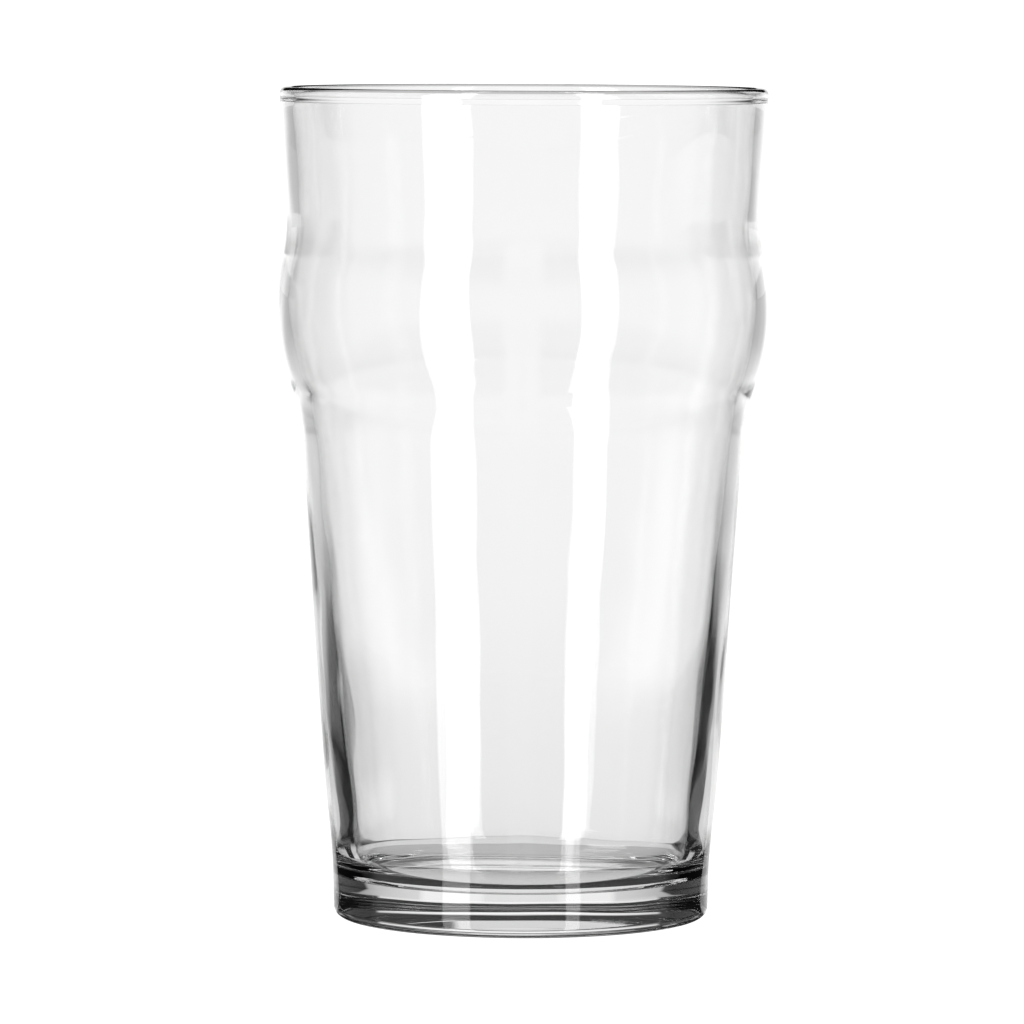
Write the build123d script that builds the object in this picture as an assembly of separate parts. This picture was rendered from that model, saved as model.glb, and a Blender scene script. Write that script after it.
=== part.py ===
from build123d import *
import os

# A pint beer glass with a stacking bulge below its rim: one piece of clear moulded glass.
# Millimetres, +Z up. The origin is the centre of the ring that the glass stands on.

os.makedirs("parts", exist_ok=True)

# Driving dimensions
HEIGHT = 149.2  # 5 7/8 in, from the bearing ring to the crown of the rim
RIM_RADIUS = 43.8  # outside of the rim
RIM_WALL = 2.4  # thickness of the fire-polished rim, which is fully round
RIM_DEPTH = 3.6  # upright collar below the crown, before the wall begins to lean
FLOOR = 7.3  # height of the inner floor on the axis
PUSH_UP = 1.6  # how far the underside is pushed up inside the bearing ring

# Where the straight runs of the wall would meet if nothing were rounded: radius, height, and
# the radius of the arc that rounds the meeting. The outside is cut by the mould, so it has
# two faint turns more than the inside, which was blown.
OUTER_FOOT = [(33.65, 0.0, 1.9), (33.95, 10.8, 150.0), (35.62, 26.8, 500.0)]
OUTER_NECK = (39.9, 90.2, 26.0)
OUTER_BULGE = (45.55, 107.8, 41.5)
OUTER_WAIST = (42.25, 123.35, 30.5)

INNER_WAIST = (40.0, 123.6, 29.0)
INNER_BULGE = (43.6, 107.1, 41.0)
INNER_NECK = (37.8, 92.3, 22.0)
FLOOR_CORNER = (29.3, FLOOR, 5.2)

# The underside: a shallow dome, and the ring round it that touches the table.
PUSH_UP_EDGE = (12.0, PUSH_UP, 190.0)
RING_EDGE = (25.5, 0.0, 3.0)
COLLAR_ROUND = 24.0  # the arcs between the leaning wall and the upright collar of the rim


def outline(start, corners, end):
    """A line from start to end through the corners, each rounded by its own arc."""
    points = [start] + [(radius, height) for radius, height, _ in corners] + [end]
    return FilletPolyline(*points, radius=[arc for _, _, arc in corners])


def glass():
    """The whole glass: its half section turned once round the axis."""
    rim_round = RIM_WALL / 2
    collar = HEIGHT - RIM_DEPTH
    inner_rim = RIM_RADIUS - RIM_WALL
    outer_collar = (RIM_RADIUS, collar, COLLAR_ROUND)
    inner_collar = (inner_rim, collar, COLLAR_ROUND)
    outer_corners = [PUSH_UP_EDGE, RING_EDGE, *OUTER_FOOT, OUTER_NECK, OUTER_BULGE]
    outer_corners += [OUTER_WAIST, outer_collar]
    inner_corners = [inner_collar, INNER_WAIST, INNER_BULGE, INNER_NECK, FLOOR_CORNER]
    with BuildPart() as part:
        with BuildSketch(Plane.XZ):
            with BuildLine():
                outside = outline((0, PUSH_UP), outer_corners, (RIM_RADIUS, HEIGHT - rim_round))
                inside = outline((inner_rim, HEIGHT - rim_round), inner_corners, (0, FLOOR))
                crown = (RIM_RADIUS - rim_round, HEIGHT)
                ThreePointArc(outside @ 1, crown, inside @ 0)
                Line(inside @ 1, outside @ 0)
            make_face()
        revolve(axis=Axis.Z)
    return part.part


def brim_capacity():
    """Millilitres that the glass holds when it is filled to the crown of the rim."""
    rim_round = RIM_WALL / 2
    inner_rim = RIM_RADIUS - RIM_WALL
    inner_corners = [(inner_rim, HEIGHT - RIM_DEPTH, COLLAR_ROUND), INNER_WAIST]
    inner_corners += [INNER_BULGE, INNER_NECK, FLOOR_CORNER]
    with BuildPart() as filling:
        with BuildSketch(Plane.XZ):
            with BuildLine():
                inside = outline((inner_rim, HEIGHT), inner_corners, (0, FLOOR))
                Line(inside @ 1, (0, HEIGHT))
                Line((0, HEIGHT), inside @ 0)
            make_face()
        revolve(axis=Axis.Z)
    return filling.part.volume / 1000


tumbler = glass()
export_step(tumbler, "parts/glass.step")

GLASS_DENSITY = 2.5  # g per ml, for soda-lime glass
size = tumbler.bounding_box().size
print("glass", size, "volume", round(tumbler.volume / 1000, 1), "ml")
print("mass", round(tumbler.volume / 1000 * GLASS_DENSITY), "g")
print("holds", round(brim_capacity()), "ml to the brim")
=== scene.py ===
"""Looks of the pint glass: a lathed body of clear glass on a pale floor, in soft studio light."""

import math

import bpy
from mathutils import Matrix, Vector, noise


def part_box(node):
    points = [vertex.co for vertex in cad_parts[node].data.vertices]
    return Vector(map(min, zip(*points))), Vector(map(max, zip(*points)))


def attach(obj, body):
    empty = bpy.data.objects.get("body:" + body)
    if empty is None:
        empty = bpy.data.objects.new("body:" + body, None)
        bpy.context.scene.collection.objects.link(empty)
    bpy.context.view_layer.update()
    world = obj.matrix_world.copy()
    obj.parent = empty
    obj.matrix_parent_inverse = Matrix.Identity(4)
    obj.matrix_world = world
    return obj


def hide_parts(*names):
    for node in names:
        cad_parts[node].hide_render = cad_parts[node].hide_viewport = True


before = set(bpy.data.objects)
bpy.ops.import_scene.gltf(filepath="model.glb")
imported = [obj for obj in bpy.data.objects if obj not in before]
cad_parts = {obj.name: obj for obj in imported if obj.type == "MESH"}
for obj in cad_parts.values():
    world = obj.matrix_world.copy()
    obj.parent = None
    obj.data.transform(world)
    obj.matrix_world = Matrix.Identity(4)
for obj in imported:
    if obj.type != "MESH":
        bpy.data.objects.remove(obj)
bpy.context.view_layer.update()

MM = 0.001

# ---------------------------------------------------------------- the glass's half section
# Heights and radii are in mm up to the mesh itself, which is in metres.
low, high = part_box("glass")
HEIGHT = (high.z - low.z) / MM
RIM_RADIUS = 43.8
RIM_WALL = 2.4
COLLAR = HEIGHT - 3.6
FLOOR = 7.3
PUSH_UP = 1.6

# Where the straight runs of the section would meet: radius, height and rounding.
OUTER = [
    (12.0, PUSH_UP, 190.0),
    (25.5, 0.0, 3.0),
    (33.65, 0.0, 1.9),
    (33.95, 10.8, 150.0),
    (35.62, 26.8, 500.0),
    (39.9, 90.2, 26.0),
    (45.55, 107.8, 41.5),
    (42.25, 123.35, 30.5),
    (RIM_RADIUS, COLLAR, 24.0),
]
INNER = [
    (RIM_RADIUS - RIM_WALL, COLLAR, 24.0),
    (40.0, 123.6, 29.0),
    (43.6, 107.1, 41.0),
    (37.8, 92.3, 22.0),
    (29.3, FLOOR, 5.2),
]

# The mesh: closer rings on the last of the upright wall, where the bead of the rim begins.
LINE_STEP = 1.25  # between rings on the walls
ARC_TURN = math.radians(9)  # most that the section turns from one ring to the next
BEAD_RUN, BEAD_RINGS = 1.5, 10  # the stretch of wall with closer rings, and how many it has
SEGMENTS = 256

# How the wall strays from the turned section: two sizes of soft wave, and the bead of the rim.
OUTER_WAVE, INNER_WAVE = 0.08 * MM, 0.12 * MM  # most that the waves move each face of the wall
# Each size of wave: the scale of its noise round the axis and up it, and the shift along the
# axis that gives the two faces different waves.
WIDE_WAVE = (1.7, 30, 7)
FINE_WAVE = (4.5, 90, 11)
FINE_SHARE = 0.35  # how strong the fine waves are beside the wide ones
WAVE_END, WAVE_FADE = 4, 6  # how far under the crown the waves end, and over what height
BEAD = 0.08 * MM  # how far the round of the rim stands proud of the wall, on each side
BEAD_END, BEAD_FADE = 1.4, 1.2  # how far under the crown the bead ends, and over what height
# The lowest part of the wall is as turned, up to here above the foot outside and above the
# floor inside. Waves and bead grow from there, over a further height.
FOOT_CLEAR, FLOOR_CLEAR, FOOT_FADE = 2, 1, 8

# The glass itself
REFRACTION = 1.52
DEPTH_GREY, DEPTH_DENSITY = 0.92, 12.0  # colour and density of the absorption in its depth


def smooth(share):
    share = min(max(share, 0), 1)
    return share * share * (3 - 2 * share)


def line_points(start, end, step):
    """Evenly spaced points from start towards end, without the end."""
    count = max(1, round((end - start).length / step))
    return [start.lerp(end, i / count) for i in range(count)]


def arc_points(centre, start, end, step):
    """Points of the shorter arc about centre from start towards end, without the end."""
    a, b = start - centre, end - centre
    turn = a.angle_signed(b)
    count = max(2, math.ceil(abs(turn) / ARC_TURN), round(abs(turn) * a.length / step))
    points = []
    for i in range(count):
        angle = -turn * i / count
        c, s = math.cos(angle), math.sin(angle)
        points.append(centre + Vector((a.x * c - a.y * s, a.x * s + a.y * c)))
    return points


def rounded(start, corners, end, step):
    """The section's outline from start to end through the corners, each rounded by its arc."""
    points, here = [], Vector(start)
    stops = [Vector((r, z)) for r, z, _ in corners] + [Vector(end)]
    for i, (_, _, radius) in enumerate(corners):
        corner, following = stops[i], stops[i + 1]
        before = (here - corner).normalized()
        after = (following - corner).normalized()
        half = before.angle(after) / 2
        reach = radius / math.tan(half)
        centre = corner + (before + after).normalized() * (radius / math.sin(half))
        points += line_points(here, corner + before * reach, step)
        points += arc_points(centre, corner + before * reach, corner + after * reach, step)
        here = corner + after * reach
    return points + line_points(here, stops[-1], step)


def section():
    """Rings of the glass from the middle of its underside, up the outside and down to its floor."""
    half_wall = RIM_WALL / 2
    shoulder = HEIGHT - half_wall
    neck = shoulder - BEAD_RUN
    crown = Vector((RIM_RADIUS - half_wall, shoulder))
    outer, inner = Vector((RIM_RADIUS, neck)), Vector((RIM_RADIUS - RIM_WALL, neck))
    up = Vector((0, BEAD_RUN))
    outside = rounded((0, PUSH_UP), OUTER, outer, LINE_STEP)
    rim = [outer + up * (i / BEAD_RINGS) for i in range(BEAD_RINGS)]
    turns = round(math.pi / ARC_TURN)
    for i in range(turns):
        angle = math.pi * i / turns
        rim.append(crown + Vector((math.cos(angle), math.sin(angle))) * half_wall)
    rim += [inner + up * (1 - i / BEAD_RINGS) for i in range(BEAD_RINGS)]
    inside = rounded(inner, INNER, (0, FLOOR), LINE_STEP)
    return outside + rim + inside + [Vector((0, FLOOR))]


def wave_at(x, y, z, side, wave):
    """One size of wave at a turn round the axis, x and y, and a height z in metres."""
    across, upwards, apart = wave
    return noise.noise(Vector((x * across, y * across, z * upwards + apart * side)))


def waved(ring, turn, side):
    """A point of the section at one turn round the axis, moved in or out by soft waves.

    Side is 1 on the outside of the glass and -1 on the inside. The waves die out under the rim
    and near the foot and the inner floor. The wall is also a little thinner than the round of
    the rim, which stands proud of it as a bead.
    """
    x, y = math.cos(turn), math.sin(turn)
    z = ring.y * MM
    wave = wave_at(x, y, z, side, WIDE_WAVE)
    wave += FINE_SHARE * wave_at(x, y, z, side, FINE_WAVE)
    wave = min(max(wave, -1), 1) * smooth((HEIGHT - WAVE_END - ring.y) / WAVE_FADE)
    depth = wave * (OUTER_WAVE if side > 0 else INNER_WAVE)
    depth += BEAD * smooth((HEIGHT - BEAD_END - ring.y) / BEAD_FADE)
    clear = FOOT_CLEAR if side > 0 else FLOOR + FLOOR_CLEAR
    radius = ring.x * MM - side * depth * smooth((ring.y - clear) / FOOT_FADE)
    return radius * x, radius * y, z


def lathe(name, rings):
    """A closed smooth mesh: the rings turned round the axis, with one point at each end."""
    verts, faces = [(0, 0, rings[0].y * MM)], []
    crown = max(range(len(rings)), key=lambda i: rings[i].y)
    for i, ring in enumerate(rings[1:-1], 1):
        for k in range(SEGMENTS):
            verts.append(waved(ring, 2 * math.pi * k / SEGMENTS, 1 if i < crown else -1))
    verts.append((0, 0, rings[-1].y * MM))
    last = len(verts) - 1
    for k in range(SEGMENTS):
        following = (k + 1) % SEGMENTS
        faces.append((0, 1 + following, 1 + k))
        for row in range(len(rings) - 3):
            a = 1 + row * SEGMENTS
            b = a + SEGMENTS
            faces.append((a + k, a + following, b + following, b + k))
        top = last - SEGMENTS
        faces.append((last, top + k, top + following))
    mesh = bpy.data.meshes.new(name)
    mesh.from_pydata(verts, [], faces)
    mesh.polygons.foreach_set("use_smooth", [True] * len(mesh.polygons))
    mesh.update()
    body = bpy.data.objects.new(name, mesh)
    bpy.context.scene.collection.objects.link(body)
    return body


def glass_material():
    """Clear soda-lime glass with a trace of grey in its depth."""
    mat = bpy.data.materials.new("clear_glass")
    mat.use_nodes = True
    nodes, links = mat.node_tree.nodes, mat.node_tree.links
    shader = nodes["Principled BSDF"]
    shader.inputs["Base Color"].default_value = (1, 1, 1, 1)
    shader.inputs["Roughness"].default_value = 0.0
    shader.inputs["IOR"].default_value = REFRACTION
    shader.inputs["Transmission Weight"].default_value = 1.0
    depth = nodes.new("ShaderNodeVolumeAbsorption")
    depth.inputs["Color"].default_value = (DEPTH_GREY, DEPTH_GREY, DEPTH_GREY, 1)
    depth.inputs["Density"].default_value = DEPTH_DENSITY
    links.new(depth.outputs["Volume"], nodes["Material Output"].inputs["Volume"])
    return mat


tumbler = lathe("tumbler", section())
tumbler.data.materials.append(glass_material())
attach(tumbler, "root")
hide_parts("glass")

# ---------------------------------------------------------------- camera
CAMERA_DISTANCE = 1.2715
CAMERA_HEIGHT = 0.1674
CAMERA_PITCH = math.radians(4.25)
CAMERA_YAW = math.radians(0.1015)
CAMERA_ROLL = math.radians(-0.24)
SENSOR = 36.0
LENS = 249.2
CLIP = (0.01, 20)


def camera():
    data = bpy.data.cameras.new("camera")
    data.sensor_width = SENSOR
    data.lens = LENS
    data.clip_start, data.clip_end = CLIP
    cam = bpy.data.objects.new("camera", data)
    bpy.context.scene.collection.objects.link(cam)
    cam.location = (0, -CAMERA_DISTANCE, CAMERA_HEIGHT)
    cam.rotation_mode = "XYZ"
    cam.rotation_euler = (math.pi / 2 - CAMERA_PITCH, CAMERA_ROLL, CAMERA_YAW)
    bpy.context.scene.camera = cam


camera()

# ---------------------------------------------------------------- studio
# Light that reaches the glass, as patches of directions in degrees: azimuth from +Y towards +X,
# elevation, half width, half height, soft edge, brightness, how far that brightness fades
# towards the patch's two sides, and how much the patch widens per degree of elevation.
PANELS = [
    (1, 1, 37, 6.5, 1.5, 1.0, 0.3, 0),  # the backdrop
    (-14, -3, 9, 7, 4, 1.13, 0, 0),  # its brighter left
    (15, -3, 10, 7, 4, 1.15, 0, 0),  # and right
    (3, -8, 30, 7, 1.5, 1.0, 0.25, 4),  # the table, bright in the middle
    (-43.5, -18, 4, 4.5, 1, 0.8, 0, 0),  # and in patches closer to the glass
    (-7, -19, 21, 5, 1.5, 0.9, 0, 0),
    (31.5, -20, 5.5, 4.5, 1, 0.8, 0, 0),
    (0, -63, 180, 40, 2, 0.6, 0, 0),  # the table all round, seen steeply
    (-128, -4, 50, 17, 6, 0.5, 0, 0),  # the left and right sides of the studio
    (128, -4, 50, 17, 6, 0.5, 0, 0),
    (180, 0, 10, 60, 3, 0.5, 0, 0),  # the side that the camera is on
    (-140, -5, 9, 38, 1, 4.0, 0, 0),  # the left and right lamps, tall and narrow
    (148, -5, 4.5, 38, 1, 4.0, 0, 0),
    (0, 75, 180, 20, 8, 0.9, 0, 0),  # the ceiling
]
# DARK is also the colour of the painted contact shadow under the glass.
DARK = 0.02  # brightness between the patches, and of the dark parts of the table
CAMERA_WHITE = 1.2  # brightness that the camera sees past the floor, never through the glass
# The floor: half its side, how far it lies below the base, and its brightness.
FLOOR_HALF, FLOOR_DEPTH, FLOOR_WHITE = 6.0, 0.0005, 1.1

# The table behind the glass, which the glass sees and the camera doesn't. Near the glass it is
# a sheet of painted shade that dims what lies beyond it. Further off it shines. Distances are in m.
TABLE_DEPTH = 0.0003
TABLE_TURN = 75  # how far round it reaches to each side, in degrees
TABLE_START, TABLE_GROWTH, TABLE_RINGS = 0.035, 1.06, 93  # each ring is wider by the growth
TABLE_NEAR_PAINTED_SHADE, TABLE_NEAR_SHADE_REACH = 0.22, 0.27  # how dim it is near the glass, and how far out
TABLE_SHINES = (0.24, 0.34)  # where it begins to shine and is all shine
TABLE_LIGHT = [  # azimuth in degrees, brightness
    (-75, DARK), (-50, DARK), (-44, 0.6), (-28, 0.75), (-21, 1.15), (-11, 1.15), (-4, 1.0),
    (3, 1.0), (9, 1.15), (21, 1.15), (28, 0.75), (42, 0.6), (48, DARK), (75, DARK),
]
# How much dimmer it is off to the sides: the loss, between which azimuths and which distances
# it sets in, and for the nearer loss, which is a painted shadow of the glass, between which
# distances it ends.
FAR_LOSS, FAR_TURNS, FAR_STARTS = 0.35, (14, 24), (0.4, 0.9)
MIDDLE_PAINTED_SHADOW, MIDDLE_TURNS, MIDDLE_ENDS = 0.35, (30, 36), (0.33, 0.4)

# Right under the glass: a painted contact shadow, a dark ring round a disc that glows as painted
# light.
CONTACT_SHADOW = (0.0258, 0.0340)  # inner and outer radius
CONTACT_DEPTH = 0.0001
CONTACT_SEGMENTS = 64
UNDER_GLASS_PAINTED_LIGHT = 0.75  # brightness of the disc


def studio_world():
    """White to the camera, and the panels to everything that the glass bends or reflects."""
    world = bpy.data.worlds.new("studio")
    world.use_nodes = True
    nodes, links = world.node_tree.nodes, world.node_tree.links

    def feed(socket, value):
        if isinstance(value, (int, float)):
            socket.default_value = value
        else:
            links.new(value, socket)

    def calculate(operation, *values):
        node = nodes.new("ShaderNodeMath")
        node.operation = operation
        for socket, value in zip(node.inputs, values):
            feed(socket, value)
        return node.outputs[0]

    def inside(distance, outer, inner):
        node = nodes.new("ShaderNodeMapRange")
        node.interpolation_type = "SMOOTHSTEP"
        feed(node.inputs["Value"], calculate("ABSOLUTE", distance))
        feed(node.inputs["From Min"], outer)
        feed(node.inputs["From Max"], inner)
        return node.outputs["Result"]

    split = nodes.new("ShaderNodeSeparateXYZ")
    links.new(nodes.new("ShaderNodeTexCoord").outputs["Generated"], split.inputs[0])
    arc = calculate("ARCTAN2", split.outputs["X"], split.outputs["Y"])
    azimuth = calculate("DEGREES", arc)
    elevation = calculate("DEGREES", calculate("ARCSINE", split.outputs["Z"]))
    light = DARK
    for turn, tilt, half_width, half_height, edge, brightness, fade, spread in PANELS:
        sideways = calculate("WRAP", calculate("SUBTRACT", azimuth, turn), 180, -180)
        upwards = calculate("SUBTRACT", elevation, tilt)
        if spread:
            outer = calculate("MULTIPLY_ADD", upwards, spread, half_width + edge)
            inner = calculate("MULTIPLY_ADD", upwards, spread, half_width - edge)
        else:
            outer, inner = half_width + edge, half_width - edge
        across = inside(sideways, outer, inner)
        up = inside(upwards, half_height + edge, half_height - edge)
        out = calculate("DIVIDE", calculate("ABSOLUTE", sideways), half_width)
        share = calculate("POWER", out, 2)
        level = calculate("MULTIPLY_ADD", share, -fade * brightness, brightness)
        patch = calculate("MULTIPLY", calculate("MULTIPLY", across, up), level)
        light = calculate("MAXIMUM", light, patch)
    to_camera = nodes.new("ShaderNodeLightPath").outputs["Is Camera Ray"]
    white = calculate("MULTIPLY", to_camera, CAMERA_WHITE)
    links.new(calculate("MAXIMUM", light, white), nodes["Background"].inputs["Strength"])
    nodes["Background"].inputs["Color"].default_value = (1, 1, 1, 1)
    bpy.context.scene.world = world


def studio_piece(name, points, faces, tints, glows):
    """A flat piece of the studio. At each point it lets through tints and shines by glows."""
    mesh = bpy.data.meshes.new(name)
    mesh.from_pydata(points, [], faces)
    mat = bpy.data.materials.new(name)
    mat.use_nodes = True
    nodes, links = mat.node_tree.nodes, mat.node_tree.links
    nodes.clear()
    both = nodes.new("ShaderNodeAddShader")
    for slot, (field, values, shader, socket) in enumerate((
        ("tint", tints, "ShaderNodeBsdfTransparent", "Color"),
        ("glow", glows, "ShaderNodeEmission", "Strength"),
    )):
        mesh.attributes.new(field, "FLOAT", "POINT").data.foreach_set("value", values)
        source, surface = nodes.new("ShaderNodeAttribute"), nodes.new(shader)
        source.attribute_name = field
        links.new(source.outputs["Fac"], surface.inputs[socket])
        links.new(surface.outputs[0], both.inputs[slot])
    links.new(both.outputs[0], nodes.new("ShaderNodeOutputMaterial").inputs["Surface"])
    mesh.materials.append(mat)
    mat.cycles.emission_sampling = "NONE"
    piece = bpy.data.objects.new(name, mesh)
    bpy.context.scene.collection.objects.link(piece)
    return piece


def floor():
    """A plain white floor that the camera sees, and the glass doesn't."""
    corners = [(-1, -1), (1, -1), (1, 1), (-1, 1)]
    points = [(x * FLOOR_HALF, y * FLOOR_HALF, -FLOOR_DEPTH) for x, y in corners]
    glows = [FLOOR_WHITE] * len(points)
    plane = studio_piece("floor", points, [(0, 1, 2, 3)], [0.0] * len(points), glows)
    plane.visible_glossy = plane.visible_transmission = plane.visible_diffuse = False


def between(start, end, value):
    """How far value has gone from start to end, smoothly from 0 to 1."""
    return smooth((value - start) / (end - start))


def table_light(reach, turn):
    """What the table lets through and how it shines, at a distance in m and an azimuth."""
    for (a, dim), (b, bright) in zip(TABLE_LIGHT, TABLE_LIGHT[1:]):
        if a <= turn <= b:
            light = dim + (bright - dim) * between(a, b, turn)
    # Painted shade: the table lets through less and glows less close to the glass.
    near = 1 - TABLE_NEAR_PAINTED_SHADE * math.exp(-reach / TABLE_NEAR_SHADE_REACH)
    shine = between(*TABLE_SHINES, reach)
    side = abs(turn)
    light *= 1 - FAR_LOSS * between(*FAR_TURNS, side) * between(*FAR_STARTS, reach)
    # Painted shadow of the glass on the table, at the sides close to it.
    light *= 1 - MIDDLE_PAINTED_SHADOW * between(*MIDDLE_TURNS, side) * (1 - between(*MIDDLE_ENDS, reach))
    return near * (1 - shine), near * light * shine


def table():
    """The table behind the glass, as a fan of small faces."""
    turns = range(-TABLE_TURN, TABLE_TURN + 1)
    points, faces, lights = [], [], []
    for i in range(TABLE_RINGS):
        reach = TABLE_START * TABLE_GROWTH ** i
        for turn in turns:
            angle = math.radians(turn)
            points.append((reach * math.sin(angle), reach * math.cos(angle), -TABLE_DEPTH))
            lights.append(table_light(reach, turn))
    across = len(turns)
    for i in range(TABLE_RINGS - 1):
        for k in range(across - 1):
            a = i * across + k
            faces.append((a, a + 1, a + across + 1, a + across))
    tints, glows = zip(*lights)
    studio_piece("table", points, faces, tints, glows).visible_camera = False


def painted_contact_shadow():
    """A painted contact shadow: the dark ring where the glass meets the table, and the disc inside
    it that glows as painted light.
    """
    count = CONTACT_SEGMENTS
    points = []
    for radius in CONTACT_SHADOW:
        for k in range(count):
            turn = 2 * math.pi * k / count
            points.append((radius * math.cos(turn), radius * math.sin(turn), -CONTACT_DEPTH))
    ring = [(k, count + k, count + (k + 1) % count, (k + 1) % count) for k in range(count)]
    disc = [tuple(range(count))]
    for name, corners, faces, glow in (
        ("painted_contact_shadow", points, ring, DARK),
        ("under_glass", points[:count], disc, UNDER_GLASS_PAINTED_LIGHT),
    ):
        tints, glows = [0.0] * len(corners), [glow] * len(corners)
        studio_piece(name, corners, faces, tints, glows).visible_camera = False


studio_world()
floor()
table()
painted_contact_shadow()

# Light goes in and out of the wall and the base many times before it leaves.
BOUNCES, GLOSSY_BOUNCES = 24, 12
scene = bpy.context.scene
scene.view_settings.view_transform = "Standard"
scene.cycles.max_bounces = scene.cycles.transmission_bounces = BOUNCES
scene.cycles.glossy_bounces = GLOSSY_BOUNCES
